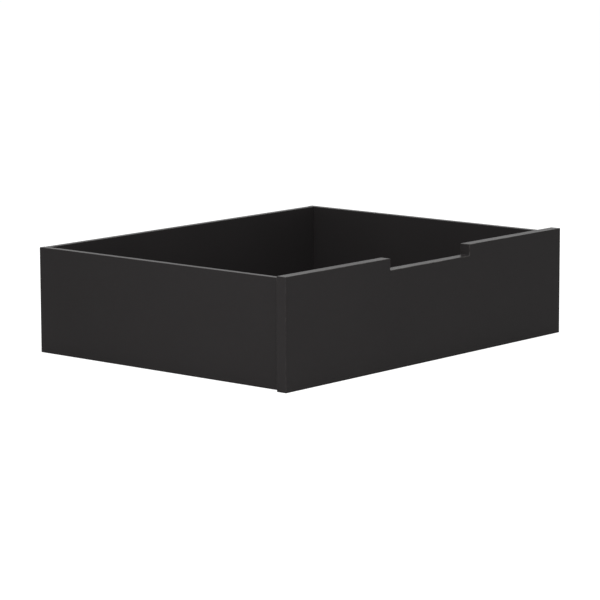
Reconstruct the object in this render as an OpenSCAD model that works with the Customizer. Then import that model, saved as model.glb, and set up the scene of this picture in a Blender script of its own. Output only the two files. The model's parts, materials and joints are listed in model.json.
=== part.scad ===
// Open-topped storage drawer: a painted board box with an overlapping front that has a hand notch,
// a bottom board let into grooves, a rail under it, and cam locks and dowels at the four corners.
// Millimetres. X runs along the front, +Y from front to back, +Z up.
// The origin is in the middle of the drawer's footprint, on the surface that it stands on.

/* [Front panel] */
// Width of the front panel, which stands out past both sides
front_w = 752; // [620:1:920]
// Height of the front panel
front_h = 190; // [150:1:240]
// Thickness of the front panel
front_t = 20; // [15:0.5:22]
// How far the front panel stands out past each side panel
front_overhang = 12; // [6:0.5:20]
// How far the front panel rises above the sides and the back
front_rise = 5; // [0:0.5:12]

/* [Hand notch] */
// Width of the notch in the front panel's top edge
notch_w = 217; // [120:1:320]
// Depth of the notch, down from the top edge
notch_depth = 20; // [15:0.5:32]
// Radius of the notch's two inner corners
notch_corner_r = 2; // [1.5:0.5:10]

/* [Box] */
// Depth of the drawer from the front face to the rear ends of the sides
drawer_depth = 576; // [460:1:700]
// Thickness of the side panels
side_t = 12; // [10:0.5:16]
// Thickness of the back panel
back_t = 12; // [10:0.5:16]
// How far the back panel sits in from the rear ends of the sides
back_inset = 2; // [0:0.5:10]
// Radius of the eased edges of the boards
edge_r = 1; // [0.5:0.25:1.5]

/* [Bottom] */
// Thickness of the bottom panel
bottom_t = 4; // [3:0.5:6]
// Height of the bottom panel's underside above the floor
bottom_height = 20; // [17:0.5:30]
// Depth of the grooves that hold the bottom panel
groove_depth = 6; // [3:0.5:7]
// Width of the rail under the bottom panel
rail_w = 45; // [36:1:70]
// Thickness of the rail under the bottom panel
rail_t = 15; // [12:0.5:17]

/* [Fittings] */
// Diameter of the cam locks
cam_d = 15; // [12:0.5:18]
// Distance from the front joint to the middle of its cam locks
front_cam_reach = 34; // [24:1:44]
// Distance from the back joints to the middle of their cam locks
back_cam_reach = 24; // [20:1:34]
// Depth to which the front's cam bolts are screwed into the front panel
front_thread_len = 11; // [8:0.5:11]
// Diameter of the dowels at the corners
dowel_d = 6; // [5:0.5:8]
// Length of a front dowel inside the side panel
front_dowel_hold = 18; // [14:1:24]
// Length of a back dowel inside the back panel
back_dowel_hold = 17; // [14:1:24]
// Diameter of the dowels at the ends of the rail
rail_dowel_d = 8; // [6:0.5:8]

/* [Hidden] */
$fn = 48;

cut = 1;               // how far a cutter runs past the face it opens
fit_gap = 0.1;         // clearance round a dowel, cam or thread in its hole, on the radius
groove_play = 0.3;     // clearance above the bottom panel in its groove
end_play = 0.5;        // clearance between the bottom panel's edge and the end of a groove
blind_skin = 4;        // board left behind a hole that stops short of the outer face
glue_room = 1;         // empty end of a dowel hole

// Cam lock and bolt, from the middle of the cam outwards
bolt_neck_d = 4;       // thin neck that passes the cam's slot
bolt_head_d = 6.4;     // head that the cam draws in
bolt_shank_d = 6;      // plain shank in the board's edge
bolt_thread_d = 5;     // screwed end
bolt_hole_d = 7;       // hole in the board's edge for head and shank
neck_start = 3.4;      // where the head ends and the neck begins
head_full = 2;         // where the head's cone reaches its full diameter
head_end = 0.6;        // how far the head runs past the middle of the cam
collar_d = 9;          // flange that stops the bolt at the face of the board
collar_t = 1.2;        // thickness of that flange
cam_foot = 3.5;        // cam below the bolt's axis
cam_turn = 200;        // turn of the cam from open to tight
track_tight_r = 3.6;   // radius of the spiral track where the cam is tight
track_open_r = 4.6;    // radius of the spiral track where it is open
track_lead = 30;       // degrees of tight track on the far side of the neck
track_step = 10;       // degrees between two points of the track
neck_play = 0.2;       // clearance round the neck and head in the cam
entry_ledge = 0.1;     // how much lower the cam's open side is than the room for the head
recess_l = 8;          // length of the cross recess in the cam's face
recess_w = 1.6;        // width of the cross recess
recess_share = 0.6;    // depth of the recess, as a share of the cam's roof

// Derived places
side_h = front_h - front_rise;
box_w = front_w - 2 * front_overhang;
inner_w = box_w - 2 * side_t;
front_face_y = -drawer_depth / 2;
joint_y = front_face_y + front_t;
rear_y = drawer_depth / 2;
back_rear_y = rear_y - back_inset;
back_front_y = back_rear_y - back_t;
back_mid_y = back_rear_y - back_t / 2;
side_len = drawer_depth - front_t;
inner_d = back_front_y - joint_y;
bottom_top = bottom_height + bottom_t;
rail_mid_z = bottom_height - rail_t / 2;
back_hold = side_t - blind_skin;       // depth of the back's bolts and dowels in a side panel
front_dowel_sink = front_thread_len + cut;
cam_zs = [bottom_top + cam_d / 2 + 16, side_h - cam_d / 2 - 30];
dowel_mid_z = (cam_zs[0] + cam_zs[1]) / 2;
dowel_zs = [dowel_mid_z - 16, dowel_mid_z + 16];
rail_dowel_xs = [-rail_w / 4, rail_w / 4];

// ---------- shapes that several pieces share ----------

// Rectangle from the origin with round corners
module round_rect(w, h, r) {
    translate([r, 0]) square([w - 2 * r, h]);
    translate([0, r]) square([w, h - 2 * r]);
    for (x = [r, w - r], y = [r, h - r]) translate([x, y]) circle(r);
}

// Block from the origin with all its edges eased
module eased_block(size, r) {
    intersection() {
        linear_extrude(size.z) round_rect(size.x, size.y, r);
        translate([0, size.y, 0]) rotate([90, 0, 0]) linear_extrude(size.y) round_rect(size.x, size.z, r);
        rotate([90, 0, 90]) linear_extrude(size.x) round_rect(size.y, size.z, r);
    }
}

// Section of a cutter that eases an edge at the origin, with the board in the first quadrant
module easing_section(r) {
    difference() {
        translate([-cut, -cut]) square(r + cut);
        translate([r, r]) circle(r);
    }
}

// The same cutter along +X, with the board in +Y and +Z
module easing(length, r) {
    rotate([90, 0, 90]) linear_extrude(length) easing_section(r);
}

// Dowel along +X from the origin, with chamfered ends and flutes for the glue
module dowel(d, length) {
    chamfer = d / 8;
    flute_r = d / 14;
    difference() {
        rotate([0, 90, 0]) {
            cylinder(d1 = d - 2 * chamfer, d2 = d, h = chamfer);
            translate([0, 0, chamfer]) cylinder(d = d, h = length - 2 * chamfer);
            translate([0, 0, length - chamfer]) cylinder(d1 = d, d2 = d - 2 * chamfer, h = chamfer);
        }
        for (a = [0:45:315]) rotate([a, 0, 0]) translate([-cut, 0, d / 2])
            rotate([0, 90, 0]) cylinder(r = flute_r, h = length + 2 * cut, $fn = 16);
    }
}

// Radius of the spiral track at a given turn from the tight end
function track_r(a) = track_tight_r + (track_open_r - track_tight_r) * max(0, a) / cam_turn;

// Cam lock in a board of the given thickness. Its slotted face is at z = 0 and looks along +Z,
// and its bolt comes along the X axis, from +X, in the middle of the board.
module cam_lock(board_t) {
    roof = board_t / 2 - bolt_head_d / 2 - neck_play;
    height = board_t / 2 + cam_foot;
    recess = recess_share * roof;
    slot = bolt_neck_d + 2 * neck_play;
    entry = bolt_head_d + 2 * neck_play;
    track = [for (a = [-track_lead:track_step:cam_turn]) track_r(a) * [cos(a), sin(a)]];
    open_side = [for (a = [cam_turn + track_step:track_step:360 - track_lead - track_step])
        track_open_r * [cos(a), sin(a)]];
    difference() {
        translate([0, 0, -height]) cylinder(d = cam_d, h = height);
        translate([0, 0, -height - cut]) linear_extrude(height + cut - roof) polygon(concat(track, open_side));
        translate([0, 0, -board_t / 2]) {
            translate([0, 0, -slot / 2]) rotate_extrude(angle = cam_turn) translate([track_tight_r / 2, 0])
                square([cam_d, slot]);
            translate([0, -slot / 2, -slot / 2]) cube([cam_d, slot, slot]);
        }
        rotate([0, 0, cam_turn]) translate([neck_start / 2, -entry / 2, -height - cut])
            cube([cam_d, entry, height + cut - roof - entry_ledge]);
        for (a = [0, 90]) rotate([0, 0, a + 45]) translate([-recess_l / 2, -recess_w / 2, -recess])
            cube([recess_l, recess_w, recess + cut]);
        // pointer to the open side
        rotate([0, 0, cam_turn]) translate([cam_d / 2 - 2.6, 0, -recess / 2])
            linear_extrude(recess + cut) polygon([[0, -1], [1.6, 0], [0, 1]]);
    }
}

// Bolt that a cam lock draws in, in the cam's frame, with its axis on X
module cam_bolt(reach, thread_len) {
    shank_start = cam_d / 2 + neck_play;
    rotate([0, 90, 0]) {
        translate([0, 0, -head_end]) cylinder(d = bolt_head_d, h = head_end + head_full);
        translate([0, 0, head_full])
            cylinder(d1 = bolt_head_d, d2 = bolt_neck_d, h = neck_start - head_full);
        translate([0, 0, neck_start]) cylinder(d = bolt_neck_d, h = shank_start - neck_start);
        translate([0, 0, shank_start]) cylinder(d = bolt_shank_d, h = reach - collar_t - shank_start);
        translate([0, 0, reach - collar_t]) cylinder(d = collar_d, h = collar_t);
        translate([0, 0, reach]) cylinder(d = bolt_thread_d, h = thread_len);
    }
}

// Holes for one cam lock and its bolt in the board that holds the cam
module cam_holes(board_t, reach) {
    height = board_t / 2 + cam_foot;
    translate([0, 0, -height]) cylinder(d = cam_d + 2 * fit_gap, h = height + cut);
    translate([0, 0, -board_t / 2]) rotate([0, 90, 0]) {
        cylinder(d = bolt_hole_d, h = reach + cut);
        translate([0, 0, reach - collar_t]) cylinder(d = collar_d + 2 * fit_gap, h = collar_t + cut);
    }
}

// Hole for a bolt's screwed end in the board that it holds
module thread_hole(board_t, reach, thread_len) {
    translate([reach - cut, 0, -board_t / 2]) rotate([0, 90, 0])
        cylinder(d = bolt_thread_d + 2 * fit_gap, h = thread_len + cut);
}

// Hole for the part of a dowel that is on the +X side of the origin
module dowel_hole(d, hold) {
    translate([-cut, 0, 0]) rotate([0, 90, 0]) cylinder(d = d + 2 * fit_gap, h = hold + glue_room + cut);
}

// ---------- places of the fittings ----------

// Cam locks in the side panels: faces inwards, bolts towards the front
module at_front_cams() {
    for (s = [-1, 1], z = cam_zs) translate([s * inner_w / 2, joint_y + front_cam_reach, z])
        rotate([90 * s, 0, 0]) rotate([0, -90 * s, 0]) children();
}

// Cam locks in the back panel: faces rearwards, bolts towards the sides
module at_back_cams() {
    for (s = [-1, 1], z = cam_zs) translate([s * (inner_w / 2 - back_cam_reach), back_rear_y, z])
        rotate([-90, 0, 0]) rotate([0, 0, s < 0 ? 180 : 0]) children();
}

// Front dowels: +X of the child points into the side panel
module at_front_dowels() {
    for (s = [-1, 1], z = dowel_zs) translate([s * (inner_w + side_t) / 2, joint_y, z])
        rotate([0, 0, 90]) children();
}

// Back dowels: +X of the child points into the back panel
module at_back_dowels() {
    for (s = [-1, 1], z = dowel_zs) translate([s * inner_w / 2, back_mid_y, z])
        rotate([0, 0, s > 0 ? 180 : 0]) children();
}

// Rail dowels: +X of the child points into the rail
module at_rail_front() {
    for (x = rail_dowel_xs) translate([x, joint_y, rail_mid_z]) rotate([0, 0, 90]) children();
}
module at_rail_back() {
    for (x = rail_dowel_xs) translate([x, back_front_y, rail_mid_z]) rotate([0, 0, -90]) children();
}

// Holes on the far side of a joint, where the child's -X points into the board
module far_side() {
    rotate([0, 0, 180]) children();
}

// ---------- boards ----------

// Groove for the bottom panel, as a ring that cuts into all four boards
module bottom_groove() {
    translate([-inner_w / 2 - groove_depth, joint_y - groove_depth, bottom_height])
        cube([inner_w + 2 * groove_depth, inner_d + 2 * groove_depth, bottom_t + groove_play]);
}

// Cutter for the hand notch. Z runs through the panel from its front face, X along the panel,
// and the notch's floor is at y = 0.
module hand_notch() {
    half = notch_w / 2;
    r = notch_corner_r;
    straight = half - r;
    translate([-straight, 0, -cut]) cube([2 * straight, notch_depth + cut, front_t + 2 * cut]);
    translate([-half, r, -cut]) cube([notch_w, notch_depth - r + cut, front_t + 2 * cut]);
    for (x = [-straight, straight]) translate([x, r, -cut]) cylinder(r = r, h = front_t + 2 * cut);
    for (turn = [0, 1], side = [0, 1]) translate([0, 0, side * front_t])
        mirror([turn, 0, 0]) mirror([0, 0, side]) {
            mirror([0, 1, 0]) easing(straight, edge_r);
            translate([straight, r, 0]) rotate([0, 0, -90])
                rotate_extrude(angle = 90) translate([r, 0]) easing_section(edge_r);
            translate([half, r, 0]) mirror([1, 0, 0]) rotate([0, 0, 90])
                easing(notch_depth - r + cut, edge_r);
        }
    // eased corners where the notch meets the panel's top edge
    for (turn = [0, 1]) mirror([turn, 0, 0]) translate([half, notch_depth, -cut])
        mirror([0, 1, 0]) linear_extrude(front_t + 2 * cut) easing_section(edge_r);
}

module front_panel() {
    color("#222120") difference() {
        translate([-front_w / 2, front_face_y, 0]) eased_block([front_w, front_t, front_h], edge_r);
        translate([0, front_face_y, front_h - notch_depth]) mirror([0, 1, 0]) rotate([90, 0, 0]) hand_notch();
        bottom_groove();
        at_front_cams() thread_hole(side_t, front_cam_reach, front_thread_len);
        at_front_dowels() far_side() dowel_hole(dowel_d, front_dowel_sink);
        at_rail_front() far_side() dowel_hole(rail_dowel_d, front_dowel_sink);
    }
}

// Side panel on the side s (-1 left, 1 right), with a square end at the front and eased elsewhere
module side_panel(s) {
    outer_x = s * box_w / 2;
    difference() {
        intersection() {
            translate([min(outer_x, s * inner_w / 2), joint_y - 2 * edge_r, 0])
                eased_block([side_t, side_len + 2 * edge_r, side_h], edge_r);
            translate([-front_w / 2, joint_y, 0]) cube([front_w, side_len, side_h]);
        }
        bottom_groove();
        at_front_cams() cam_holes(side_t, front_cam_reach);
        at_back_cams() thread_hole(back_t, back_cam_reach, back_hold);
        at_front_dowels() dowel_hole(dowel_d, front_dowel_hold);
        at_back_dowels() far_side() dowel_hole(dowel_d, back_hold - glue_room);
    }
}

module left_side_panel() {
    color("#232221") side_panel(-1);
}

module right_side_panel() {
    color("#232221") side_panel(1);
}

module back_panel() {
    color("#201f1f") difference() {
        intersection() {
            translate([-inner_w / 2 - 2 * edge_r, back_front_y, 0])
                eased_block([inner_w + 4 * edge_r, back_t, side_h], edge_r);
            translate([-inner_w / 2, back_front_y, 0]) cube([inner_w, back_t, side_h]);
        }
        bottom_groove();
        at_back_cams() cam_holes(back_t, back_cam_reach);
        at_back_dowels() dowel_hole(dowel_d, back_dowel_hold);
        at_rail_back() far_side() dowel_hole(rail_dowel_d, back_t - blind_skin - glue_room);
    }
}

module bottom_panel() {
    reach = groove_depth - end_play;
    color("#1d1c1c") translate([-inner_w / 2 - reach, joint_y - reach, bottom_height])
        cube([inner_w + 2 * reach, inner_d + 2 * reach, bottom_t]);
}

module support_rail() {
    color("#b98f5a") difference() {
        intersection() {
            translate([-rail_w / 2, joint_y - 2 * edge_r, bottom_height - rail_t])
                eased_block([rail_w, inner_d + 4 * edge_r, rail_t], edge_r);
            translate([-rail_w / 2, joint_y, 0]) cube([rail_w, inner_d, bottom_height]);
        }
        at_rail_front() dowel_hole(rail_dowel_d, front_dowel_hold);
        at_rail_back() dowel_hole(rail_dowel_d, front_dowel_hold);
    }
}

// ---------- fittings ----------

module cam_locks() {
    color("silver") {
        at_front_cams() cam_lock(side_t);
        at_back_cams() cam_lock(back_t);
    }
}

module front_cam_bolts() {
    color("#c9c4b8") at_front_cams() translate([0, 0, -side_t / 2])
        cam_bolt(front_cam_reach, front_thread_len);
}

module back_cam_bolts() {
    color("#c9c4b8") at_back_cams() translate([0, 0, -back_t / 2]) cam_bolt(back_cam_reach, back_hold);
}

module front_dowels() {
    color("burlywood") at_front_dowels() translate([-front_dowel_sink, 0, 0])
        dowel(dowel_d, front_dowel_sink + front_dowel_hold);
}

module back_dowels() {
    sink = back_hold - glue_room;
    color("burlywood") at_back_dowels() translate([-sink, 0, 0]) dowel(dowel_d, sink + back_dowel_hold);
}

module rail_dowels() {
    back_sink = back_t - blind_skin - glue_room;
    color("burlywood") {
        at_rail_front() translate([-front_dowel_sink, 0, 0])
            dowel(rail_dowel_d, front_dowel_sink + front_dowel_hold);
        at_rail_back() translate([-back_sink, 0, 0]) dowel(rail_dowel_d, back_sink + front_dowel_hold);
    }
}

front_panel();
left_side_panel();
right_side_panel();
back_panel();
bottom_panel();
support_rail();
cam_locks();
front_cam_bolts();
back_cam_bolts();
front_dowels();
back_dowels();
rail_dowels();
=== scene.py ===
import json
import math

import bmesh
import bpy
from bpy.props import FloatProperty, FloatVectorProperty, IntProperty, PointerProperty
from mathutils import Matrix, Vector

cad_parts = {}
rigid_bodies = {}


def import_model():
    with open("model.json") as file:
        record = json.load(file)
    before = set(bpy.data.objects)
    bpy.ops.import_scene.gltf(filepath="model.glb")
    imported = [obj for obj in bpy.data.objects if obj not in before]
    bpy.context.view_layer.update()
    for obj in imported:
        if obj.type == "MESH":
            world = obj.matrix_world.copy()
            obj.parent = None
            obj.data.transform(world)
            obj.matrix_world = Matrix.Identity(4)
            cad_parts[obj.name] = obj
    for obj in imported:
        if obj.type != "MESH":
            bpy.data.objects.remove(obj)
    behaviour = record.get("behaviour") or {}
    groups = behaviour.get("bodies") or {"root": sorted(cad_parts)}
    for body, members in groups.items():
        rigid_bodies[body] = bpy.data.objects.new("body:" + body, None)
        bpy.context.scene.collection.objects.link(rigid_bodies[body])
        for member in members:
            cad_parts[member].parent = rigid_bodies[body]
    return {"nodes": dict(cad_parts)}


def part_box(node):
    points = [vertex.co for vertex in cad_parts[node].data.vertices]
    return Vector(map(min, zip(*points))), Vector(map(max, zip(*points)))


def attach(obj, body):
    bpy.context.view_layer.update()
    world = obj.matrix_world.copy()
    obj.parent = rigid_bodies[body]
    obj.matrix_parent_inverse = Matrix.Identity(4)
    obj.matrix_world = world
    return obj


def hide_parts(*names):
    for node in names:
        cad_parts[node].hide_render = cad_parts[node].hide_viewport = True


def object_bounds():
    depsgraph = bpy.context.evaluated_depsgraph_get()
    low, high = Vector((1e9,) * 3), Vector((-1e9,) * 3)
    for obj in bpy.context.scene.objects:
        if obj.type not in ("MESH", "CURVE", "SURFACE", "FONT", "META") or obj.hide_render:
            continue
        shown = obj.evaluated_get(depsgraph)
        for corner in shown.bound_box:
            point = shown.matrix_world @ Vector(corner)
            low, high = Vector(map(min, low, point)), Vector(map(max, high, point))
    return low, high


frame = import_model()
cad_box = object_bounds()

bl_info = {
    "name": "Open storage drawer",
    "version": (1, 0, 0),
    "blender": (4, 5, 0),
    "location": "View3D > Sidebar > Drawer",
    "description": "Boards, fittings and studio for a black drawer box with a hand-notched front",
    "category": "Object",
}

BODY = "root"
BOARDS = ("front_panel", "left_side_panel", "right_side_panel", "back_panel")
CAM_BOLTS = ("front_cam_bolts", "back_cam_bolts")
DOWELS = ("front_dowels", "back_dowels", "rail_dowels")
FAR = 0.001  # how far a cutter runs past the face it opens
SAME = 0.0002  # two places closer than this are the same
UNHANDLED_WEAR_AND_HIGHLIGHT = 0.3  # wear and painted highlight of an edge that no hand rubs, as a share of the notch's
X, Y, Z = 0, 1, 2
SAWN_EDGE = 0.0003  # radius of the bottom panel's sawn edges
RECESS_SHARE = 0.6  # depth of a cam lock's cross recess, as a share of its roof
HOLE_SIDES, POCKET_SIDES, CAM_SIDES, BOLT_SIDES = 48, 64, 72, 32  # faces round what is turned
FLUTE_SIDES = 12  # faces of a dowel for each of its flutes
FLOOR_GAP = 0.00005  # keeps the floor apart from the faces that stand on it
FLOOR_GLOW = 0.92  # how bright the camera sees the floor in the deepest shadow
FLOOR_LIT = 0.22  # what the lamps add to that, as the grey of a thin coat
LAMPS = {  # the diameter and place of each soft light, by the name of its power in Studio
    "key": (1.1, (-1.5, -0.85, 0.8)),
    "top": (2.0, (-0.2, -0.15, 1.6)),
    "rear": (1.2, (0.2, 2.3, 0.8)),
    "side": (1.2, (2.4, 0.25, 0.8)),
}


# ---------- sizes and looks that a user may change ----------


class BoardSizes(bpy.types.PropertyGroup):
    eased_edge: FloatProperty(
        name="Eased edge", description="Radius of the rounded edges of the boards",
        default=0.001, min=0.0003, max=0.0015, unit="LENGTH")
    edge_steps: IntProperty(
        name="Edge steps", description="Faces across a rounded edge", default=4, min=2, max=8)
    notch_width: FloatProperty(
        name="Notch width", description="Width of the hand notch in the front panel",
        default=0.217, unit="LENGTH")
    notch_depth: FloatProperty(
        name="Notch depth", description="Depth of the hand notch, down from the top edge",
        default=0.020, unit="LENGTH")
    notch_corner: FloatProperty(
        name="Notch corner", description="Radius of the notch's two inner corners",
        default=0.002, unit="LENGTH")
    groove_depth: FloatProperty(
        name="Groove depth", description="Depth of the grooves that hold the bottom panel",
        default=0.006, unit="LENGTH")
    groove_play: FloatProperty(
        name="Groove play", description="Clearance above the bottom panel in its groove",
        default=0.0003, unit="LENGTH")
    rail_edge: FloatProperty(
        name="Rail edge", description="Radius of the planed rail's edges",
        default=0.001, unit="LENGTH")


class FittingSizes(bpy.types.PropertyGroup):
    hole_play: FloatProperty(
        name="Hole play", description="Clearance round a cam lock, dowel or thread in its hole",
        default=0.0001, unit="LENGTH")
    cam_rim: FloatProperty(
        name="Cam rim", description="Eased edge of a cam lock's face", default=0.0004, unit="LENGTH")
    cam_turn: FloatProperty(
        name="Cam turn", description="Turn of a cam lock from open to tight",
        default=math.radians(200), subtype="ANGLE")
    track_tight: FloatProperty(
        name="Tight track", description="Radius of the cam's spiral track where it is tight",
        default=0.0036, unit="LENGTH")
    track_open: FloatProperty(
        name="Open track", description="Radius of the cam's spiral track where it is open",
        default=0.0046, unit="LENGTH")
    recess_length: FloatProperty(
        name="Recess length", description="Length of the cross recess in a cam's face",
        default=0.008, unit="LENGTH")
    recess_width: FloatProperty(
        name="Recess width", description="Width of the cross recess in a cam's face",
        default=0.0016, unit="LENGTH")
    neck_diameter: FloatProperty(
        name="Neck", description="Diameter of a cam bolt's neck", default=0.004, unit="LENGTH")
    head_diameter: FloatProperty(
        name="Head", description="Diameter of a cam bolt's head", default=0.0064, unit="LENGTH")
    shank_diameter: FloatProperty(
        name="Shank", description="Diameter of a cam bolt's plain shank", default=0.006, unit="LENGTH")
    thread_diameter: FloatProperty(
        name="Thread", description="Outer diameter of a cam bolt's thread", default=0.005, unit="LENGTH")
    thread_pitch: FloatProperty(
        name="Pitch", description="Distance between two turns of the thread", default=0.0016, unit="LENGTH")
    flange_diameter: FloatProperty(
        name="Flange", description="Diameter of the flange that stops a cam bolt at the board's face",
        default=0.009, unit="LENGTH")
    flange_thickness: FloatProperty(
        name="Flange thickness", description="Thickness of a cam bolt's flange",
        default=0.0012, unit="LENGTH")
    bolt_hole: FloatProperty(
        name="Bolt hole", description="Hole in a board's edge for a bolt's head and shank",
        default=0.007, unit="LENGTH")
    thread_depth: FloatProperty(
        name="Thread depth", description="Depth of the thread, as a share of its radius",
        default=0.22, min=0, max=0.5, subtype="FACTOR")
    dowel_flutes: IntProperty(
        name="Flutes", description="Glue flutes round a dowel", default=8, min=4, max=16)
    flute_depth: FloatProperty(
        name="Flute depth", description="Depth of a glue flute, as a share of the dowel's radius",
        default=0.14, min=0, max=0.2, subtype="FACTOR")


class Finish(bpy.types.PropertyGroup):
    paint: FloatVectorProperty(
        name="Paint", description="Colour of the black lacquer", subtype="COLOR",
        size=3, default=(0.0168, 0.0155, 0.0157), min=0, max=1)
    gloss: FloatProperty(
        name="Paint gloss", description="Strength of the lacquer's reflection",
        default=0.035, min=0, max=1, subtype="FACTOR")
    roughness: FloatProperty(
        name="Paint roughness", description="Roughness of the lacquer on a board's faces",
        default=0.40, min=0, max=1, subtype="FACTOR")
    edge_roughness: FloatProperty(
        name="Edge roughness", description="Roughness of the lacquer on a board's narrow edges",
        default=0.30, min=0, max=1, subtype="FACTOR")
    peel: FloatProperty(
        name="Peel size", description="Distance between the ripples of the sprayed lacquer",
        default=0.0024, unit="LENGTH")
    peel_depth: FloatProperty(
        name="Peel depth", description="Height of the ripples of the sprayed lacquer",
        default=0.000012, unit="LENGTH")
    # painted highlight and wear: a lighter colour for the rounded edges, partly paint rubbed thin and
    # partly light that the edges catch
    rubbed_and_highlit: FloatVectorProperty(
        name="Rubbed edge", description="Colour of the lacquer where an edge is rubbed thin",
        subtype="COLOR", size=3, default=(0.066, 0.062, 0.059), min=0, max=1)
    hardboard: FloatVectorProperty(
        name="Hardboard", description="Colour of the bare hardboard under the drawer",
        subtype="COLOR", size=3, default=(0.20, 0.105, 0.05), min=0, max=1)
    pine: FloatVectorProperty(
        name="Pine", description="Colour of the planed rail", subtype="COLOR",
        size=3, default=(0.62, 0.42, 0.22), min=0, max=1)
    beech: FloatVectorProperty(
        name="Beech", description="Colour of the dowels", subtype="COLOR",
        size=3, default=(0.60, 0.40, 0.24), min=0, max=1)
    zinc: FloatVectorProperty(
        name="Zinc", description="Colour of the die-cast cam locks", subtype="COLOR",
        size=3, default=(0.50, 0.50, 0.51), min=0, max=1)
    steel: FloatVectorProperty(
        name="Plated steel", description="Colour of the plated cam bolts", subtype="COLOR",
        size=3, default=(0.62, 0.60, 0.55), min=0, max=1)


class Studio(bpy.types.PropertyGroup):
    lens: FloatProperty(
        name="Lens", description="Focal length of the camera", default=177.6, unit="CAMERA")
    azimuth: FloatProperty(
        name="Azimuth", description="Turn of the camera round the drawer, from straight in front",
        default=math.radians(-49.29), subtype="ANGLE")
    elevation: FloatProperty(
        name="Elevation", description="Height of the camera as an angle above the horizon",
        default=math.radians(9.01), subtype="ANGLE")
    roll: FloatProperty(
        name="Roll", description="Turn of the camera about its own axis",
        default=math.radians(-0.18), subtype="ANGLE")
    distance: FloatProperty(
        name="Distance", description="Distance from the camera to the middle of the drawer",
        default=5.234, unit="LENGTH")
    shift: FloatVectorProperty(
        name="Shift", description="Shift of the picture, as a share of its width",
        size=2, default=(-0.00403, -0.01733))
    floor_colour: FloatVectorProperty(
        name="Floor", description="Colour of the studio floor", subtype="COLOR",
        size=3, default=(0.80, 0.80, 0.80), min=0, max=1)
    floor_size: FloatProperty(
        name="Floor size", description="Radius of the studio floor", default=40.0, unit="LENGTH")
    sky: FloatProperty(
        name="Sky", description="Strength of the even light from all round", default=0.45)
    key: FloatProperty(
        name="Key light", description="Power of the low soft light near the front left corner",
        default=17.0, unit="POWER")
    top: FloatProperty(
        name="Top light", description="Power of the large soft light overhead", default=30.0, unit="POWER")
    rear: FloatProperty(
        name="Rear light", description="Power of the weak soft light behind the back panel",
        default=16.0, unit="POWER")
    side: FloatProperty(
        name="Side light", description="Power of the weak soft light beside the right side panel",
        default=16.0, unit="POWER")


# ---------- mesh helpers ----------


def group_of(name):
    """The scene's settings of one kind."""
    return getattr(bpy.context.scene, name)


def new_object(name, data):
    """An object in the scene that holds a mesh, a lamp or a camera."""
    made = bpy.data.objects.new(name, data)
    bpy.context.scene.collection.objects.link(made)
    return made


def mesh_object(name, bm):
    """An object from a bmesh, with its faces pointing outwards."""
    bmesh.ops.recalc_face_normals(bm, faces=bm.faces)
    mesh = bpy.data.meshes.new(name)
    bm.to_mesh(mesh)
    bm.free()
    return new_object(name, mesh)


def arc(centre, radius, start, end, steps):
    """Points on an arc in the plane, from one angle to another in degrees, ends included."""
    angles = [math.radians(start + (end - start) * i / steps) for i in range(steps + 1)]
    return [(centre[0] + radius * math.cos(a), centre[1] + radius * math.sin(a)) for a in angles]


def in_space(point, along, depth):
    """A point of the plane across one axis, at a depth along it."""
    point = list(point)
    point.insert(along, depth)
    return Vector(point)


def prism(outline, along, low, high):
    """A bmesh of an outline, extruded along one axis from low to high."""
    bm = bmesh.new()
    rings = [[bm.verts.new(in_space(p, along, depth)) for p in outline] for depth in (low, high)]
    bm.faces.new(rings[0])
    bm.faces.new(rings[1])
    for i in range(len(outline)):
        j = (i + 1) % len(outline)
        bm.faces.new((rings[0][i], rings[0][j], rings[1][j], rings[1][i]))
    return bm


def block(low, high):
    """A bmesh of a box."""
    outline = [(low.x, low.y), (high.x, low.y), (high.x, high.y), (low.x, high.y)]
    return prism(outline, Z, low.z, high.z)


def rod(start, end, radius, sides=HOLE_SIDES, on_flat=False):
    """A bmesh of a cylinder between two points. On a flat, no corner of it looks along an axis,
    so that it clears a plane that the true cylinder would touch."""
    bm = bmesh.new()
    way = end - start
    turn = way.to_track_quat("Z", "Y").to_matrix().to_4x4()
    if on_flat:
        turn = turn @ Matrix.Rotation(math.pi / sides, 4, "Z")
    bmesh.ops.create_cone(
        bm, cap_ends=True, segments=sides, radius1=radius, radius2=radius, depth=way.length,
        matrix=Matrix.Translation((start + end) / 2) @ turn)
    return bm


def turned(profile, sides):
    """A bmesh turned about the X axis from a profile of places along it and their radii."""
    bm = bmesh.new()
    rings = []
    for x, radius in profile:
        round_x = arc((0, 0), radius, 0, 360, sides)[:-1]
        rings.append([bm.verts.new(in_space(point, X, x)) for point in round_x])
    for near, far in zip(rings, rings[1:]):
        for i in range(sides):
            j = (i + 1) % sides
            bm.faces.new((near[i], near[j], far[j], far[i]))
    bm.faces.new(rings[0])
    bm.faces.new(rings[-1])
    return bm


def spread(count, low, high):
    """Evenly spaced numbers from low to high."""
    return [low + (high - low) * i / (count - 1) for i in range(count)]


# ---------- places of the fittings, read from the frame ----------


def loose_parts(node):
    """The box of each separate solid of a node, as (lowest corner, highest corner)."""
    bm = bmesh.new()
    bm.from_mesh(frame["nodes"][node].data)
    bmesh.ops.remove_doubles(bm, verts=bm.verts, dist=1e-6)
    unseen, boxes = set(bm.verts), []
    while unseen:
        todo = [unseen.pop()]
        part = []
        while todo:
            vert = todo.pop()
            part.append(vert.co)
            linked = {edge.other_vert(vert) for edge in vert.link_edges} & unseen
            unseen -= linked
            todo.extend(linked)
        boxes.append(tuple(Vector(f(c[i] for c in part) for i in range(3)) for f in (min, max)))
    bm.free()
    return sorted(boxes, key=lambda box: tuple(round(v, 4) for v in box[0]))


def holds(box, point):
    return all(box[0][i] - SAME <= point[i] <= box[1][i] + SAME for i in range(3))


def meet(one, other):
    """Whether two boxes share more than their faces."""
    return all(one[0][i] + SAME < other[1][i] and other[0][i] + SAME < one[1][i] for i in range(3))


def middle(box):
    return (box[0] + box[1]) / 2


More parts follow.
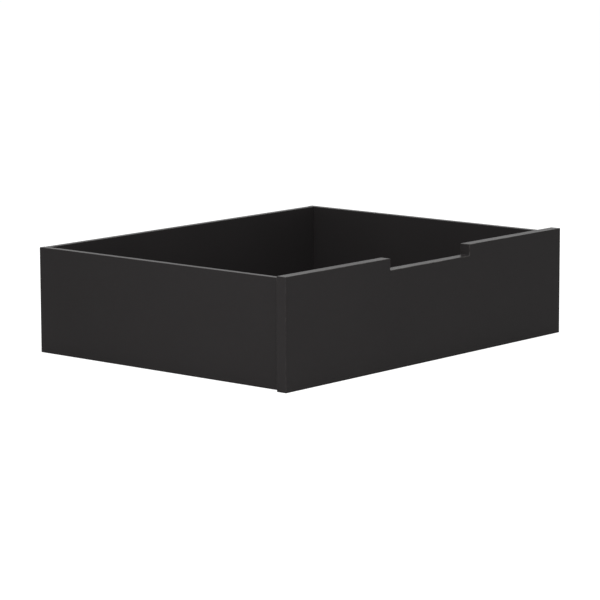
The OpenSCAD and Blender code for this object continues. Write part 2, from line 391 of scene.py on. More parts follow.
def axis_of(box, pick):
    """The axis along which a box is longest or thinnest."""
    size = box[1] - box[0]
    return pick(range(3), key=lambda i: size[i])


def dowel_radius(box):
    """A dowel's radius. Its flutes cut into its box, and its diameter is a whole millimetre."""
    return round(1000 * (box[1] - box[0])[Z]) / 2000


def unit(axis, sign=1.0):
    made = Vector((0, 0, 0))
    made[axis] = sign
    return made


class Cam:
    """One cam lock: the middle of its face, the way the face looks, and the way to its joint."""

    def __init__(self, box, boards, bolts):
        self.middle = middle(box)
        axis = axis_of(box, min)
        self.board = next(name for name in boards if holds(boards[name], self.middle))
        board_box = boards[self.board]
        at_top = abs(board_box[1][axis] - box[1][axis]) < SAME
        self.facing = unit(axis, 1 if at_top else -1)
        self.height = (box[1] - box[0])[axis]
        self.radius = (box[1] - box[0])[Z] / 2
        self.face = self.middle + self.facing * self.height / 2
        self.board_thickness = (board_box[1] - board_box[0])[axis]
        self.bolts, bolt = next((n, b) for n in bolts for b in bolts[n] if holds(b, self.middle))
        bolt_axis = axis_of(bolt, max)
        sign = 1 if middle(bolt)[bolt_axis] > self.middle[bolt_axis] else -1
        self.towards = unit(bolt_axis, sign)
        tip = bolt[1] if sign > 0 else bolt[0]
        self.tip = abs(tip[bolt_axis] - self.middle[bolt_axis])
        edge = board_box[1] if sign > 0 else board_box[0]
        self.reach = abs(edge[bolt_axis] - self.middle[bolt_axis])
        self.axis_point = self.face - self.facing * self.board_thickness / 2


def find_cams():
    boards = {name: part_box(name) for name in BOARDS}
    bolts = {name: loose_parts(name) for name in CAM_BOLTS}
    return [Cam(box, boards, bolts) for box in loose_parts("cam_locks")]


cams = find_cams()
dowels = {name: loose_parts(name) for name in DOWELS}


# ---------- materials ----------


class NodeTree:
    """A node tree under construction, with short calls for what every tree needs."""

    def __init__(self, tree):
        self.tree = tree

    def feed(self, socket, value):
        """Gives a socket a plain value or the output of another node."""
        if isinstance(value, bpy.types.NodeSocket):
            self.tree.links.new(value, socket)
        else:
            socket.default_value = value

    def add(self, kind, *in_order, **named):
        """A new node. Its sockets take values in order or by name, with underscores for spaces;
        a name in small letters is a setting of the node."""
        node = self.tree.nodes.new(kind)
        for name, value in named.items():
            if name[0].islower():
                setattr(node, name, value)
            else:
                self.feed(node.inputs[name.replace("_", " ")], value)
        for socket, value in zip(node.inputs, in_order):
            self.feed(socket, value)
        return node

    def calc(self, operation, *values):
        return self.add("ShaderNodeMath", *values, operation=operation).outputs["Value"]

    def sum(self, one, other):
        return self.calc("ADD", one, other)

    def difference(self, one, other):
        return self.calc("SUBTRACT", one, other)

    def product(self, one, other):
        return self.calc("MULTIPLY", one, other)


class Painter(NodeTree):
    """A material under construction: its main colour and the nodes that every finish uses."""

    def __init__(self, name, colour):
        self.material = bpy.data.materials.new(f"{name}_finish")
        self.material.use_nodes = True
        super().__init__(self.material.node_tree)
        self.shader = self.tree.nodes["Principled BSDF"]
        self.colour = tuple(colour)
        self.place = self.add("ShaderNodeTexCoord").outputs["Object"]

    def tone(self, factor):
        """The main colour made lighter or darker."""
        return tuple(min(1.0, part * factor) for part in self.colour)

    def finished(self, **values):
        """The material, with the shader's own sockets set, named with underscores for spaces."""
        for name, value in values.items():
            self.feed(self.shader.inputs[name.replace("_", " ")], value)
        return self.material

    def stretched(self, scale):
        return self.add("ShaderNodeMapping", Vector=self.place, Scale=scale).outputs["Vector"]

    def noise(self, size, detail=2.0, roughness=0.5, place=None, distortion=0.0):
        """Cloudy values from 0 to 1, with features of the given size in metres."""
        return self.add(
            "ShaderNodeTexNoise", Vector=place or self.place, Scale=1 / size, Detail=detail,
            Roughness=roughness, Distortion=distortion).outputs["Fac"]

    def attribute(self, name):
        return self.add("ShaderNodeAttribute", attribute_name=name).outputs["Fac"]

    def ranged(self, value, low, high, to_low=0.0, to_high=1.0):
        return self.add(
            "ShaderNodeMapRange", Value=value, From_Min=low, From_Max=high, To_Min=to_low,
            To_Max=to_high).outputs["Result"]

    def mixed(self, share, one, other):
        """Between two colours, each a socket or three numbers."""
        node = self.add("ShaderNodeMix", data_type="RGBA", Factor=share)
        colours = [socket for socket in node.inputs if socket.type == "RGBA"]
        for socket, value in zip(colours, (one, other)):
            self.feed(socket, value if isinstance(value, bpy.types.NodeSocket) else (*value, 1))
        return next(socket for socket in node.outputs if socket.type == "RGBA")

    def bump(self, height, depth, **under):
        """Ripples of a depth in metres, on those of another bump where one is given as Normal."""
        return self.add("ShaderNodeBump", Height=height, Distance=depth, **under).outputs["Normal"]


def black_lacquer(finish):
    """Sprayed satin lacquer: fine ripples, faint clouds of gloss, fibres on the narrow edges
    and lighter rounded edges, partly paint rubbed thin and partly a painted highlight."""
    paint = Painter("black_lacquer", finish.paint)
    clouds = paint.noise(0.16, detail=4)
    specks = paint.noise(0.0011, detail=1)
    arris = paint.attribute("arris")
    edge = paint.attribute("board_edge")
    patchy = paint.ranged(paint.noise(0.018, detail=4, roughness=0.65), 0.46, 0.66)
    # painted highlight and wear: patches along the rounded edges that take the lighter edge colour
    rubbed_and_highlit = paint.product(arris, patchy)
    flat = paint.mixed(clouds, paint.tone(0.92), paint.tone(1.10))
    base = paint.mixed(edge, flat, paint.tone(1.08))
    dusty = paint.mixed(paint.ranged(specks, 0.70, 0.80, 0, 0.20), base, paint.tone(3.0))
    face_gloss = paint.ranged(clouds, 0.3, 0.7, finish.roughness - 0.02, finish.roughness + 0.03)
    edge_gloss = paint.product(edge, finish.edge_roughness - finish.roughness)
    ripples = paint.noise(finish.peel, detail=2, roughness=0.4)
    fibres = paint.noise(0.0006, detail=3, roughness=0.7)
    peel = paint.bump(ripples, finish.peel_depth)
    swelled = paint.bump(paint.product(fibres, edge), 4 * finish.peel_depth, Normal=peel)
    return paint.finished(
        Base_Color=paint.mixed(rubbed_and_highlit, dusty, tuple(finish.rubbed_and_highlit)),
        Roughness=paint.sum(face_gloss, edge_gloss),
        Specular_IOR_Level=finish.gloss,
        Normal=swelled)


def black_hardboard(finish):
    """Roller-painted hardboard: flatter than the lacquer, with a fine even grain."""
    paint = Painter("black_hardboard", finish.paint)
    clouds = paint.noise(0.12, detail=3)
    grain = paint.noise(0.0009, detail=3, roughness=0.6)
    return paint.finished(
        Base_Color=paint.mixed(clouds, paint.tone(1.0), paint.tone(1.35)),
        Roughness=paint.ranged(clouds, 0.3, 0.7, 0.50, 0.58),
        Specular_IOR_Level=finish.gloss,
        Normal=paint.bump(grain, 2 * finish.peel_depth))


def bare_hardboard(finish):
    """Pressed fibres, brown and matt, with darker and lighter tufts."""
    paint = Painter("bare_hardboard", finish.hardboard)
    tufts = paint.noise(0.004, detail=6, roughness=0.7, distortion=0.6)
    clouds = paint.noise(0.15, detail=3)
    fibre = paint.mixed(paint.ranged(tufts, 0.3, 0.7), paint.tone(0.70), paint.tone(1.25))
    return paint.finished(
        Base_Color=paint.mixed(paint.product(clouds, 0.5), fibre, paint.tone(0.85)),
        Roughness=paint.ranged(tufts, 0.3, 0.7, 0.68, 0.82),
        Specular_IOR_Level=0.3,
        Normal=paint.bump(tufts, 0.00006))


def planed_pine(finish):
    """Softwood with long grain from front to back, darker rings and a faint planing chatter."""
    paint = Painter("planed_pine", finish.pine)
    rings = paint.noise(0.006, detail=3, place=paint.stretched((1, 0.03, 1)), distortion=0.8)
    pores = paint.noise(0.0008, detail=2, place=paint.stretched((1, 0.04, 1)))
    clouds = paint.noise(0.09, detail=2)
    late = paint.ranged(rings, 0.42, 0.66)
    wood = paint.mixed(late, paint.tone(1.05), paint.tone(0.62))
    return paint.finished(
        Base_Color=paint.mixed(paint.product(clouds, 0.35), wood, paint.tone(0.82)),
        Roughness=paint.ranged(pores, 0.3, 0.7, 0.50, 0.64),
        Specular_IOR_Level=0.4,
        Normal=paint.bump(paint.sum(pores, late), 0.00004))


def turned_beech(finish):
    """Pale, dense wood with short dark flecks."""
    paint = Painter("beech", finish.beech)
    flecks = paint.noise(0.0007, detail=2, place=paint.stretched((0.15, 0.15, 1)))
    return paint.finished(
        Base_Color=paint.mixed(paint.ranged(flecks, 0.55, 0.75), paint.tone(1.05), paint.tone(0.7)),
        Roughness=paint.ranged(flecks, 0.3, 0.7, 0.52, 0.62),
        Specular_IOR_Level=0.4,
        Normal=paint.bump(flecks, 0.00002))


def cast_zinc(finish):
    """Tumbled die-cast metal: grey, soft-edged highlights and a slightly grainy skin."""
    paint = Painter("zinc_alloy", finish.zinc)
    skin = paint.noise(0.0005, detail=3, roughness=0.6)
    stain = paint.noise(0.004, detail=3)
    return paint.finished(
        Base_Color=paint.mixed(stain, paint.tone(0.85), paint.tone(1.12)),
        Metallic=1.0,
        Roughness=paint.ranged(stain, 0.3, 0.7, 0.34, 0.48),
        Normal=paint.bump(skin, 0.000015))


def plated_steel(finish):
    """Zinc-plated steel: warmer and brighter than the cast cams."""
    paint = Painter("plated_steel", finish.steel)
    stain = paint.noise(0.003, detail=3)
    return paint.finished(
        Base_Color=paint.mixed(stain, paint.tone(0.9), paint.tone(1.1)),
        Metallic=1.0,
        Roughness=paint.ranged(stain, 0.3, 0.7, 0.24, 0.36),
        Normal=paint.bump(paint.noise(0.0004), 0.000006))


FINISHES = {
    "black_lacquer": black_lacquer,
    "black_hardboard": black_hardboard,
    "bare_hardboard": bare_hardboard,
    "planed_pine": planed_pine,
    "beech": turned_beech,
    "zinc_alloy": cast_zinc,
    "plated_steel": plated_steel,
}


def finish_named(name):
    """A finish, made the first time it is asked for."""
    return bpy.data.materials.get(f"{name}_finish") or FINISHES[name](group_of("drawer_finish"))


# ---------- boards ----------


def ease_edges(bm, radius, steps, square_ends=(), handled=None):
    """Rounds every sharp edge, except those that lie in a square end, given as (axis, place).
    The layer arris marks the rounded edges, which the lacquer lightens as wear and painted
    highlight, and marks them in full inside the box that is handled."""
    def in_square_end(edge):
        return any(all(abs(v.co[axis] - place) < SAME for v in edge.verts) for axis, place in square_ends)

    sharp = math.radians(50)
    edges = [e for e in bm.edges if e.calc_face_angle(0) > sharp and not in_square_end(e)]
    made = bmesh.ops.bevel(
        bm, geom=edges, offset=radius, offset_type="OFFSET", segments=steps, profile=0.5,
        affect="EDGES", clamp_overlap=False)
    rounded = set(made["faces"])
    arris = bm.verts.layers.float.new("arris")
    for vert in bm.verts:
        if all(face in rounded for face in vert.link_faces):
            vert[arris] = 1.0 if handled and holds(handled, vert.co) else UNHANDLED_WEAR_AND_HIGHLIGHT


def mark_narrow_faces(bm, across):
    """Marks the faces on a board's narrow edges in the layer board_edge."""
    layer = bm.faces.layers.float.new("board_edge")
    for face in bm.faces:
        face[layer] = float(abs(face.normal[across]) < 0.5)


def board(name, box, across, outline=None, square_ends=(), radius=None, handled=None):
    """An eased board that fills a box. It has the box's own outline where no other is given."""
    sizes = group_of("drawer_boards")
    bm = prism(outline or rectangle(box, across), across, box[0][across], box[1][across])
    bmesh.ops.recalc_face_normals(bm, faces=bm.faces)
    ease_edges(bm, radius or sizes.eased_edge, sizes.edge_steps, square_ends, handled)
    mark_narrow_faces(bm, across)
    return mesh_object(name, bm)


def rectangle(box, across):
    """The outline of a box, seen across one axis."""
    low, high = ([v for i, v in enumerate(corner) if i != across] for corner in box)
    return [(low[0], low[1]), (high[0], low[1]), (high[0], high[1]), (low[0], high[1])]


def notched_front(box, sizes):
    """The front panel's outline: a rectangle with the hand notch in its top edge."""
    half, r = sizes.notch_width / 2, sizes.notch_corner
    low, high = box
    floor = high.z - sizes.notch_depth
    steps = 6
    right = arc((half - r, floor + r), r, 0, -90, steps)
    left = arc((r - half, floor + r), r, -90, -180, steps)
    return [
        (low.x, low.z), (high.x, low.z), (high.x, high.z), (half, high.z),
        *right, *left, (-half, high.z), (low.x, high.z)]


def groove_cutter():
    """The groove for the bottom panel, as one slab that cuts into all four boards."""
    sizes = group_of("drawer_boards")
    low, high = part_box("bottom_panel")
    inside_low = Vector((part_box("left_side_panel")[1].x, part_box("front_panel")[1].y, low.z))
    inside_high = Vector((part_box("right_side_panel")[0].x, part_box("back_panel")[0].y, high.z))
    deep = Vector((sizes.groove_depth, sizes.groove_depth, 0))
    return block(inside_low - deep, inside_high + deep + Vector((0, 0, sizes.groove_play)))


def dowel_holes(box):
    """The dowel holes in a board with the given box."""
    play = group_of("drawer_fittings").hole_play
    cutters = []
    for part in (p for parts in dowels.values() for p in parts if meet(p, box)):
        axis = axis_of(part, max)
        room = unit(axis, FAR)
        start, end = middle(part), middle(part)
        start[axis], end[axis] = part[0][axis], part[1][axis]
        cutters.append(rod(start - room, end + room, dowel_radius(part) + play))
    return cutters


def bolt_holes(name, box):
    """The holes for cam locks and their bolts in a board."""
    sizes = group_of("drawer_fittings")
    cutters = []
    for cam in cams:
        joint = cam.axis_point + cam.towards * cam.reach
        tip = cam.axis_point + cam.towards * cam.tip
        if cam.board == name:
            foot = cam.face - cam.facing * cam.height
            pocket = cam.radius + sizes.hole_play
            cutters.append(rod(foot, cam.face + cam.facing * FAR, pocket, POCKET_SIDES))
            hole_end = joint + cam.towards * FAR
            cutters.append(rod(cam.axis_point, hole_end, sizes.bolt_hole / 2, on_flat=True))
            lip = joint - cam.towards * sizes.flange_thickness
            cutters.append(rod(lip, hole_end, sizes.flange_diameter / 2 + sizes.hole_play))
        elif holds(box, tip):
            radius = sizes.thread_diameter / 2 + sizes.hole_play
            cutters.append(rod(joint - cam.towards * FAR, tip, radius))
    return cutters


def cut_away(piece, cutters, inside="bare_hardboard"):
    """Cuts shapes out of a piece; the cut faces take the finish of the bare board."""
    bench = bpy.data.collections.new("cutters")
    bpy.context.scene.collection.children.link(bench)
    for number, cutter in enumerate(cutters):
        tool = mesh_object(f"cutter_{number}", cutter)
        tool.data.materials.append(finish_named(inside))
        bpy.context.scene.collection.objects.unlink(tool)
        bench.objects.link(tool)
    cut = piece.modifiers.new("cut", "BOOLEAN")
    cut.operand_type = "COLLECTION"
    cut.collection = bench
    cut.operation = "DIFFERENCE"
    cut.solver = "EXACT"
    cut.material_mode = "TRANSFER"
    settle(piece)
    for tool in list(bench.objects):
        bpy.data.objects.remove(tool)
    bpy.data.collections.remove(bench)


def settle(piece):
    """Turns a piece's modifiers into plain mesh."""
    now = bpy.context.evaluated_depsgraph_get()
    mesh = bpy.data.meshes.new_from_object(
        piece.evaluated_get(now), preserve_all_data_layers=True, depsgraph=now)
    piece.modifiers.clear()
    old, piece.data = piece.data, mesh
    bpy.data.meshes.remove(old)
    mesh.name = piece.name


def smooth(piece, angle=40):
    """Smooth shading that keeps sharp edges sharp and large flats flat."""
    for face in piece.data.polygons:
        face.use_smooth = True
    piece.data.set_sharp_from_angle(angle=math.radians(angle))
    weighted = piece.modifiers.new("flats", "WEIGHTED_NORMAL")
    weighted.keep_sharp = True
    weighted.weight = 90
    settle(piece)


def hand_over(piece, slot, *nodes):
    """Puts a finished piece on the drawer, in place of CAD nodes."""
    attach(piece, BODY)
    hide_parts(*nodes)


def finish_board(piece, node):
    """Paints a board, cuts its groove and holes, and hands it over."""
    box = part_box(node)
    piece.data.materials.append(finish_named("black_lacquer"))
    cut_away(piece, [groove_cutter(), *dowel_holes(box), *bolt_holes(node, box)])
    smooth(piece)
    hand_over(piece, "black_lacquer", node)


# ---------- fittings ----------


def places_object(name, places):
    """A mesh with a point at each place, which stores the ways its Z and X axes look."""
    mesh = bpy.data.meshes.new(name)
    mesh.from_pydata([origin for origin, facing, pointing in places], [], [])
    for index, key in ((1, "facing"), (2, "pointing")):
        layer = mesh.attributes.new(key, "FLOAT_VECTOR", "POINT")
        for value, place in zip(layer.data, places):
            value.vector = place[index]
    return new_object(name, mesh)


class FittingTree(NodeTree):
    """A Geometry Nodes tree that sets one form at each place, turned as the place says. Its
    inputs are the places, the form, the named sizes that shape the form, and the finish."""

    def __init__(self, name, **sizes):
        super().__init__(bpy.data.node_groups.new(name, "GeometryNodeTree"))
        inputs = {"Places": "Geometry", "Form": "Object", **sizes, "Finish": "Material"}
        for key, kind in inputs.items():
            self.tree.interface.new_socket(
                key.replace("_", " "), in_out="INPUT", socket_type=f"NodeSocket{kind}")
        self.tree.interface.new_socket("Fittings", in_out="OUTPUT", socket_type="NodeSocketGeometry")
        self.given = self.add("NodeGroupInput").outputs
        form = self.add("GeometryNodeObjectInfo", transform_space="ORIGINAL", Object=self.given["Form"])
        self.form = form.outputs["Geometry"]
        place = self.add("GeometryNodeInputPosition").outputs["Position"]
        self.x, self.y, self.z = self.add("ShaderNodeSeparateXYZ", place).outputs
        self.angle = self.calc("ARCTAN2", self.z, self.y)

    def cut_in(self, share, where):
        """Moves the form's points towards its X axis, by a share of their distance from it."""
        kept = self.difference(1.0, share)
        across = (self.product(way, kept) for way in (self.y, self.z))
        moved = self.add("ShaderNodeCombineXYZ", self.x, *across).outputs["Vector"]
        put = self.add("GeometryNodeSetPosition", Geometry=self.form, Position=moved, Selection=where)
        self.form = put.outputs["Geometry"]

    def finished(self):
        """The whole tree, which ends in real mesh with its finish on."""
        turn = {}
        for key, axis, pivot in (("facing", "Z", "AUTO"), ("pointing", "X", "Z")):
            way = self.add("GeometryNodeInputNamedAttribute", data_type="FLOAT_VECTOR", Name=key)
            align = self.add(
                "FunctionNodeAlignRotationToVector", axis=axis, pivot_axis=pivot,
                Vector=way.outputs["Attribute"], **turn)
            turn = {"Rotation": align.outputs["Rotation"]}
        put = self.add(
            "GeometryNodeInstanceOnPoints", Points=self.given["Places"], Instance=self.form, **turn)
        real = self.add("GeometryNodeRealizeInstances", Geometry=put.outputs["Instances"])
        paint = self.add(
            "GeometryNodeSetMaterial", Geometry=real.outputs["Geometry"], Material=self.given["Finish"])
        self.add("NodeGroupOutput", Fittings=paint.outputs["Geometry"])
        return self.tree


def cam_lock_tree():
    """Cam locks: the form as it is, at each place."""
    return FittingTree("Cam locks").finished()


def cam_bolt_tree():
    """Cam bolts: a helical thread is cut into the form's screwed end, and runs out at its tip."""
    tree = FittingTree(
        "Cam bolts", Thread_start="Float", Thread_end="Float", Pitch="Float", Thread_depth="Float")
    turns = tree.calc("DIVIDE", tree.x, tree.given["Pitch"])
    helix = tree.difference(turns, tree.calc("DIVIDE", tree.angle, math.tau))
    crest = tree.calc("PINGPONG", tree.product(helix, 2.0), 1.0)
    to_tip = tree.difference(tree.given["Thread end"], tree.x)
    run_out = tree.calc("MINIMUM", tree.calc("DIVIDE", to_tip, tree.given["Pitch"]), 1.0)
    root = tree.difference(1.0, tree.product(crest, run_out))
    depth = tree.product(root, tree.given["Thread depth"])
    tree.cut_in(depth, tree.calc("GREATER_THAN", tree.x, tree.given["Thread start"]))
    return tree.finished()


def dowel_tree():
    """Dowels: straight glue flutes are pressed into the form, from end to end."""
    tree = FittingTree("Fluted dowels", Flutes="Int", Flute_depth="Float")
    wave = tree.calc("COSINE", tree.product(tree.angle, tree.given["Flutes"]))
    flute = tree.calc("POWER", tree.calc("MAXIMUM", wave, 0.0), 2.0)
    depth = tree.product(flute, tree.given["Flute depth"])
    tree.cut_in(depth, tree.calc("GREATER_THAN", depth, 0.0))
    return tree.finished()


def repeat(name, tree, form, places, finish, angle, **sizes):
    """A piece with the form at each place, made by Geometry Nodes and kept as plain mesh."""
    form.data.materials.clear()
    form.data.materials.append(finish_named(finish))
    piece = places_object(name, places)
    nodes = piece.modifiers.new("fittings", "NODES")
    nodes.node_group = tree
    values = {"Form": form, **sizes, "Finish": finish_named(finish)}
    sockets = {s.name: s.identifier for s in tree.interface.items_tree if s.in_out == "INPUT"}
    for key, value in values.items():
        nodes[sockets[key.replace("_", " ")]] = value
    settle(piece)
    smooth(piece, angle)
    bpy.data.objects.remove(form)
    return piece


def spiral_pocket(sizes, lead=30, step=6):
    """The outline of the room inside a cam: a track that closes in as the cam is turned."""
    turn = round(math.degrees(sizes.cam_turn))
    points = []
    for degrees in range(-lead, 360 - lead, step):
        share = min(1.0, max(0.0, degrees / turn))
        radius = sizes.track_tight + (sizes.track_open - sizes.track_tight) * share
        angle = math.radians(degrees)
        points.append((radius * math.cos(angle), radius * math.sin(angle)))
    return points


def turned_about_z(bm, angle):
    bmesh.ops.rotate(bm, verts=bm.verts, cent=(0, 0, 0), matrix=Matrix.Rotation(angle, 3, "Z"))
    return bm


def cam_form(cam):
    """A cam lock with its face at z = 0, its bolt coming along X, a cross recess and a pointer."""
    sizes = group_of("drawer_fittings")
    play = sizes.hole_play * 2
    head_room = sizes.head_diameter / 2 + play
    roof = cam.board_thickness / 2 - head_room
    neck = sizes.neck_diameter / 2 + play
    bolt = -cam.board_thickness / 2  # the height of the bolt's axis
    bm = rod(Vector((0, 0, -cam.height)), Vector((0, 0, 0)), cam.radius, CAM_SIDES)
    rim = [e for e in bm.edges if all(v.co.z > -SAME for v in e.verts)]
    bmesh.ops.bevel(bm, geom=rim, offset=sizes.cam_rim, segments=3, profile=0.5, affect="EDGES")
    form = mesh_object("cam_form", bm)
    low = -cam.height - FAR
    turn = sizes.cam_turn
    slot_start = -8  # degrees, well inside the neck's own slot, so that no two cuts share an edge
    sector = [(0.0, 0.0), *arc((0, 0), 2 * cam.radius, slot_start, math.degrees(turn), 24)]
    half_length, half_width = sizes.recess_length / 2, sizes.recess_width / 2
    recess = -RECESS_SHARE * roof
    cutters = [
        prism(spiral_pocket(sizes), Z, low, -roof),
        prism(sector, Z, bolt - neck, bolt + neck),
        block(Vector((0, -neck, bolt - neck)), Vector((2 * cam.radius, neck, bolt + neck))),
        turned_about_z(
            block(Vector((0, -head_room, low)), Vector((2 * cam.radius, head_room, -roof - play))), turn),
    ]
    for angle in (45, 135):
        arm = block(Vector((-half_length, -half_width, recess)), Vector((half_length, half_width, FAR)))
        cutters.append(turned_about_z(arm, math.radians(angle)))
    inset, length, half = 0.001, 0.0016, 0.001  # the pointer's distance from the rim, and its size
    tip = cam.radius - inset
    pointer = [(tip - length, -half), (tip, 0), (tip - length, half)]
    cutters.append(turned_about_z(prism(pointer, Z, recess / 2, FAR), turn))
    form.data.materials.append(finish_named("zinc_alloy"))
    cut_away(form, cutters, "zinc_alloy")
    return form


def bolt_form(cam):
    """A cam bolt along X from its cam's axis: head, neck, shank, flange and a plain rod for the
    thread, with rings close enough together to cut it."""
    sizes = group_of("drawer_fittings")
    neck_start, head_full, head_end = 0.0034, 0.0020, -0.0006  # places from the cam's axis
    flange, flange_radius = sizes.flange_thickness, sizes.flange_diameter / 2
    ease, step = 0.0002, 0.00001  # of a rounded edge and of a square one
    head, neck = sizes.head_diameter / 2, sizes.neck_diameter / 2
    shank, thread = sizes.shank_diameter / 2, sizes.thread_diameter / 2
    shank_start = cam.radius + 2 * sizes.hole_play
    turns = (cam.tip - cam.reach) / sizes.thread_pitch
    profile = [
        (head_end, head - 2 * ease), (head_end + ease, head), (head_full, head), (neck_start, neck),
        (shank_start, neck), (shank_start + ease, shank), (cam.reach - flange, shank),
        (cam.reach - flange + step, flange_radius - ease), (cam.reach - flange + ease, flange_radius),
        (cam.reach - ease, flange_radius), (cam.reach - step, flange_radius - ease),
        (cam.reach, thread * (1 - sizes.thread_depth)),
        *((x, thread) for x in spread(round(8 * turns), cam.reach + ease, cam.tip))]
    return mesh_object("bolt_form", turned(profile, BOLT_SIDES))


def dowel_form(length, radius):
    """A plain dowel with chamfered ends, along X about the origin."""
    flutes = group_of("drawer_fittings").dowel_flutes
    chamfer = radius / 4
    half = length / 2
    profile = [
        (-half, radius - chamfer), (chamfer - half, radius),
        (half - chamfer, radius), (half, radius - chamfer)]
    return mesh_object("dowel_form", turned(profile, FLUTE_SIDES * flutes))


def join(name, pieces):
    """One mesh from several, with their shared finish."""
    bm = bmesh.new()
    for piece in pieces:
        bm.from_mesh(piece.data)
    mesh = bpy.data.meshes.new(name)
    bm.to_mesh(mesh)
    bm.free()
    mesh.materials.append(pieces[0].data.materials[0])
    for piece in pieces:
        bpy.data.objects.remove(piece)
    return new_object(name, mesh)


# ---------- operators ----------


class DRAWER_OT_front_panel(bpy.types.Operator):
    """Make the thick front panel with its hand notch"""

    bl_idname = "drawer.front_panel"
    bl_label = "Front panel"

    def execute(self, context):
        sizes = context.scene.drawer_boards
        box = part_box("front_panel")
        reach = Vector((sizes.notch_width / 2 + sizes.eased_edge, 0, 0))
        floor = Vector((0, box[0].y, box[1].z - sizes.notch_depth - sizes.eased_edge))
        # the notch's edges, which get the full wear and painted highlight
        handled = (floor - reach, Vector((0, box[1].y, box[1].z)) + reach)
        piece = board("front_board", box, Y, notched_front(box, sizes), handled=handled)
        finish_board(piece, "front_panel")
        return {"FINISHED"}


class DRAWER_OT_side_panels(bpy.types.Operator):
    """Make the two side panels, square where they meet the front"""

    bl_idname = "drawer.side_panels"
    bl_label = "Side panels"

    def execute(self, context):
        for side in ("left", "right"):
            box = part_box(f"{side}_side_panel")
            piece = board(f"{side}_side_board", box, X, square_ends=[(Y, box[0].y)])
            finish_board(piece, f"{side}_side_panel")
        return {"FINISHED"}


class DRAWER_OT_back_panel(bpy.types.Operator):
    """Make the back panel, square at both ends between the sides"""

    bl_idname = "drawer.back_panel"
    bl_label = "Back panel"

    def execute(self, context):
        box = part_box("back_panel")
        piece = board("back_board", box, Y, square_ends=[(X, box[0].x), (X, box[1].x)])
        finish_board(piece, "back_panel")
        return {"FINISHED"}


class DRAWER_OT_bottom_panel(bpy.types.Operator):
    """Make the bottom panel: hardboard, painted on top and bare underneath"""

    bl_idname = "drawer.bottom_panel"
    bl_label = "Bottom panel"

    def execute(self, context):
        piece = board("bottom_board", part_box("bottom_panel"), Z, radius=SAWN_EDGE)
        piece.data.materials.append(finish_named("black_hardboard"))
        piece.data.materials.append(finish_named("bare_hardboard"))
        for face in piece.data.polygons:
            face.material_index = 0 if face.normal.z > 0.5 else 1
        smooth(piece)
        hand_over(piece, "black_hardboard", "bottom_panel")
        return {"FINISHED"}


class DRAWER_OT_support_rail(bpy.types.Operator):
    """Make the planed rail under the bottom panel"""

    bl_idname = "drawer.support_rail"
    bl_label = "Support rail"

    def execute(self, context):
        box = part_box("support_rail")
        piece = board(
            "bottom_rail", box, Z, square_ends=[(Y, box[0].y), (Y, box[1].y)],
            radius=context.scene.drawer_boards.rail_edge)
        piece.data.materials.append(finish_named("planed_pine"))
        cut_away(piece, dowel_holes(box), "planed_pine")
        smooth(piece)
        hand_over(piece, "planed_pine", "support_rail")
        return {"FINISHED"}


class DRAWER_OT_cam_locks(bpy.types.Operator):
    """Make the eight cam locks, let into the sides and the back"""

    bl_idname = "drawer.cam_locks"
    bl_label = "Cam locks"

    def execute(self, context):
        places = [(cam.face, cam.facing, cam.towards) for cam in cams]
        piece = repeat("cam_lock_set", cam_lock_tree(), cam_form(cams[0]), places, "zinc_alloy", angle=40)
        hand_over(piece, "zinc_alloy", "cam_locks")
        return {"FINISHED"}


class DRAWER_OT_cam_bolts(bpy.types.Operator):
    """Make the threaded bolts that the cam locks draw in"""

    bl_idname = "drawer.cam_bolts"
    bl_label = "Cam bolts"

    def execute(self, context):
        sizes = context.scene.drawer_fittings
        tree = cam_bolt_tree()
        for node in CAM_BOLTS:
            held = [cam for cam in cams if cam.bolts == node]
            places = [(cam.axis_point, cam.facing, cam.towards) for cam in held]
            piece = repeat(
                f"{node}_set", tree, bolt_form(held[0]), places, "plated_steel", angle=35,
                Thread_start=held[0].reach + SAME / 2, Thread_end=held[0].tip,
                Pitch=sizes.thread_pitch, Thread_depth=sizes.thread_depth)
            hand_over(piece, "plated_steel", node)
        return {"FINISHED"}


class DRAWER_OT_dowels(bpy.types.Operator):
    """Make the fluted dowels at the corners and at the ends of the rail"""

    bl_idname = "drawer.dowels"
    bl_label = "Dowels"

    def execute(self, context):
        sizes = context.scene.drawer_fittings
        tree = dowel_tree()
        for node, parts in dowels.items():
            by_length = {}
            for part in parts:
                axis = axis_of(part, max)
                length = (part[1] - part[0])[axis]
                by_length.setdefault(round(length, 4), []).append((part, axis))
            sets = []
            for length, held in by_length.items():
                places = [(middle(part), unit(Z), unit(axis)) for part, axis in held]
                radius = dowel_radius(held[0][0])
                sets.append(repeat(
                    "dowels", tree, dowel_form(length, radius), places, "beech", angle=50,
                    Flutes=sizes.dowel_flutes, Flute_depth=sizes.flute_depth))
            hand_over(join(f"{node}_set", sets), "beech", node)
        return {"FINISHED"}


class DRAWER_OT_studio(bpy.types.Operator):
    """Set up the pale floor, the soft light and the camera"""

    bl_idname = "drawer.studio"
    bl_label = "Studio"

    def execute(self, context):
        studio = context.scene.drawer_studio
        make_floor(studio)
        make_sky(studio)
        make_lamps(studio)
        make_camera(studio)
        context.scene.view_settings.view_transform = "Standard"
        return {"FINISHED"}


# ---------- studio ----------


def show_directly(tree, lit, seen, end):
    """Light and shadow come from one shader. The camera sees another, also in a reflection or
    through glass."""
    path = tree.add("ShaderNodeLightPath").outputs
    share = path["Is Camera Ray"]
    for name in ("Is Glossy Ray", "Is Transmission Ray"):
        share = tree.calc("MAXIMUM", share, path[name])
    choice = tree.add("ShaderNodeMixShader", share, lit, seen)
    tree.feed(tree.tree.nodes[end].inputs["Surface"], choice.outputs["Shader"])


